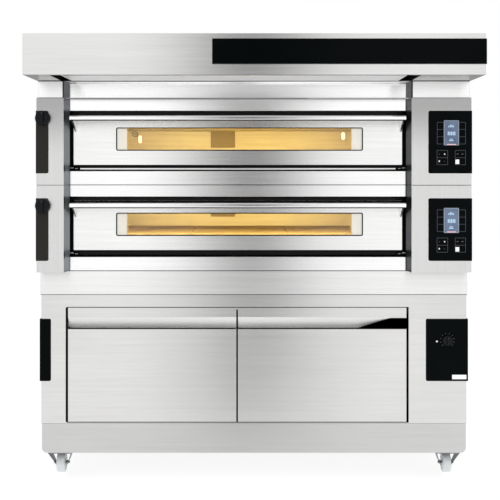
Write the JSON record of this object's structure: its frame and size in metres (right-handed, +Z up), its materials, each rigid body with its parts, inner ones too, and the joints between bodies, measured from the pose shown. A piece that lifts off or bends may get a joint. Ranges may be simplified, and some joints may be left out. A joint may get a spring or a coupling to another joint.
{
  "type": "deck pizza oven",
  "caption": "Electric pizza oven with stacked baking decks, drop-down glazed doors and bar handles, on a wheeled proving cabinet with hinged doors, under a steel extraction hood.",
  "frame": {"origin": "on the floor, under the middle of the whole appliance", "axes": "+Z up, front faces -Y, +X to the right as seen from the front"},
  "size_m": [1.66, 1.4, 1.749],
  "materials": {
    "brushed_stainless": "satin brushed, grain along the length",
    "chamber_steel": "aluminised, heat tinted",
    "galvanised_sheet": "galvanised spangle",
    "black_gloss": "black gloss glass-like",
    "black_enamel_tube": "gloss black enamel",
    "charcoal_plastic": "fine matt moulded",
    "oven_glass": "clear ceramic glass",
    "refractory_stone": "fired refractory stone",
    "mineral_wool": "fibre wool",
    "heater_sheath": "oxidised metal sheath",
    "zinc_plate": "dark zinc plated",
    "grey_nylon": "smooth light grey nylon"
  },
  "bodies": {
    "oven": {"lower_casing": "brushed_stainless", "lower_front_frame": "brushed_stainless", "lower_left_pillar": "brushed_stainless", "lower_right_pillar": "brushed_stainless", "lower_chamber": "chamber_steel", "lower_insulation": "mineral_wool", "lower_stone_floor": "refractory_stone", "lower_top_element": "heater_sheath", "lower_bottom_element": "heater_sheath", "lower_slot_trim": "black_gloss", "lower_control_panel": "black_gloss", "lower_damper_panel": "charcoal_plastic", "upper_casing": "brushed_stainless", "upper_front_frame": "brushed_stainless", "upper_left_pillar": "brushed_stainless", "upper_right_pillar": "brushed_stainless", "upper_chamber": "chamber_steel", "upper_insulation": "mineral_wool", "upper_stone_floor": "refractory_stone", "upper_top_element": "heater_sheath", "upper_bottom_element": "heater_sheath", "upper_slot_trim": "black_gloss", "upper_control_panel": "black_gloss", "upper_damper_panel": "charcoal_plastic", "hood_base": "brushed_stainless", "hood_canopy": "brushed_stainless", "support_frame": "brushed_stainless", "prover_cabinet": "brushed_stainless", "prover_base": "brushed_stainless", "tray_rack": "brushed_stainless", "steam_duct": "galvanised_sheet", "prover_heater": "galvanised_sheet", "hood_band": "black_gloss", "prover_left_panel": "black_gloss", "prover_right_panel": "black_gloss"},
    "lower_door": {"lower_door_skin": "brushed_stainless", "lower_door_liner": "brushed_stainless", "lower_door_glass": "oven_glass", "lower_door_handle": "brushed_stainless", "lower_hinge_tube": "black_enamel_tube"},
    "lower_damper": {"lower_damper_knob": "charcoal_plastic", "lower_damper_shaft": "zinc_plate"},
    "upper_door": {"upper_door_skin": "brushed_stainless", "upper_door_liner": "brushed_stainless", "upper_door_glass": "oven_glass", "upper_door_handle": "brushed_stainless", "upper_hinge_tube": "black_enamel_tube"},
    "upper_damper": {"upper_damper_knob": "charcoal_plastic", "upper_damper_shaft": "zinc_plate"},
    "left_prover_door": {"prover_left_door": "brushed_stainless"},
    "right_prover_door": {"prover_right_door": "brushed_stainless"},
    "thermostat": {"thermostat_knob": "charcoal_plastic"},
    "front_left_swivel": {"front_left_caster_fork": "zinc_plate"},
    "front_left_wheel": {"front_left_caster_wheel": "grey_nylon"},
    "front_right_swivel": {"front_right_caster_fork": "zinc_plate"},
    "front_right_wheel": {"front_right_caster_wheel": "grey_nylon"},
    "rear_left_swivel": {"rear_left_caster_fork": "zinc_plate"},
    "rear_left_wheel": {"rear_left_caster_wheel": "grey_nylon"},
    "rear_right_swivel": {"rear_right_caster_fork": "zinc_plate"},
    "rear_right_wheel": {"rear_right_caster_wheel": "grey_nylon"}
  },
  "joints": [
    {"name": "lower_door_hinge", "type": "hinge", "parent": "oven", "child": "lower_door", "pos_m": [-0.0625, -0.357, 0.876], "axis": [1, 0, 0], "range_deg": [0, 90]},
    {"name": "lower_damper_turn", "type": "hinge", "parent": "oven", "child": "lower_damper", "pos_m": [-0.8025, -0.4676, 1.065], "axis": [0, 1, 0], "range_deg": [0, 90]},
    {"name": "upper_door_hinge", "type": "hinge", "parent": "oven", "child": "upper_door", "pos_m": [-0.0625, -0.357, 1.209], "axis": [1, 0, 0], "range_deg": [0, 90]},
    {"name": "upper_damper_turn", "type": "hinge", "parent": "oven", "child": "upper_damper", "pos_m": [-0.8025, -0.4676, 1.398], "axis": [0, 1, 0], "range_deg": [0, 90]},
    {"name": "left_prover_door_hinge", "type": "hinge", "parent": "oven", "child": "left_prover_door", "pos_m": [-0.716, -0.397, 0.445], "axis": [0, 0, -1], "range_deg": [0, 110]},
    {"name": "right_prover_door_hinge", "type": "hinge", "parent": "oven", "child": "right_prover_door", "pos_m": [0.587, -0.397, 0.445], "axis": [0, 0, 1], "range_deg": [0, 110]},
    {"name": "thermostat_turn", "type": "hinge", "parent": "oven", "child": "thermostat", "pos_m": [0.75, -0.3983, 0.541], "axis": [0, 1, 0], "range_deg": [0, 270]},
    {"name": "front_left_swivel_turn", "type": "hinge", "parent": "oven", "child": "front_left_swivel", "pos_m": [-0.763, -0.32, 0.1037], "axis": [0, 0, 1], "continuous": true},
    {"name": "front_left_wheel_roll", "type": "hinge", "parent": "front_left_swivel", "child": "front_left_wheel", "pos_m": [-0.763, -0.296, 0.04], "axis": [1, 0, 0], "continuous": true},
    {"name": "front_right_swivel_turn", "type": "hinge", "parent": "oven", "child": "front_right_swivel", "pos_m": [0.763, -0.32, 0.1037], "axis": [0, 0, 1], "continuous": true},
    {"name": "front_right_wheel_roll", "type": "hinge", "parent": "front_right_swivel", "child": "front_right_wheel", "pos_m": [0.763, -0.296, 0.04], "axis": [1, 0, 0], "continuous": true},
    {"name": "rear_left_swivel_turn", "type": "hinge", "parent": "oven", "child": "rear_left_swivel", "pos_m": [-0.763, 0.6, 0.1037], "axis": [0, 0, 1], "continuous": true},
    {"name": "rear_left_wheel_roll", "type": "hinge", "parent": "rear_left_swivel", "child": "rear_left_wheel", "pos_m": [-0.763, 0.624, 0.04], "axis": [1, 0, 0], "continuous": true},
    {"name": "rear_right_swivel_turn", "type": "hinge", "parent": "oven", "child": "rear_right_swivel", "pos_m": [0.763, 0.6, 0.1037], "axis": [0, 0, 1], "continuous": true},
    {"name": "rear_right_wheel_roll", "type": "hinge", "parent": "rear_right_swivel", "child": "rear_right_wheel", "pos_m": [0.763, 0.624, 0.04], "axis": [1, 0, 0], "continuous": true}
  ]
}
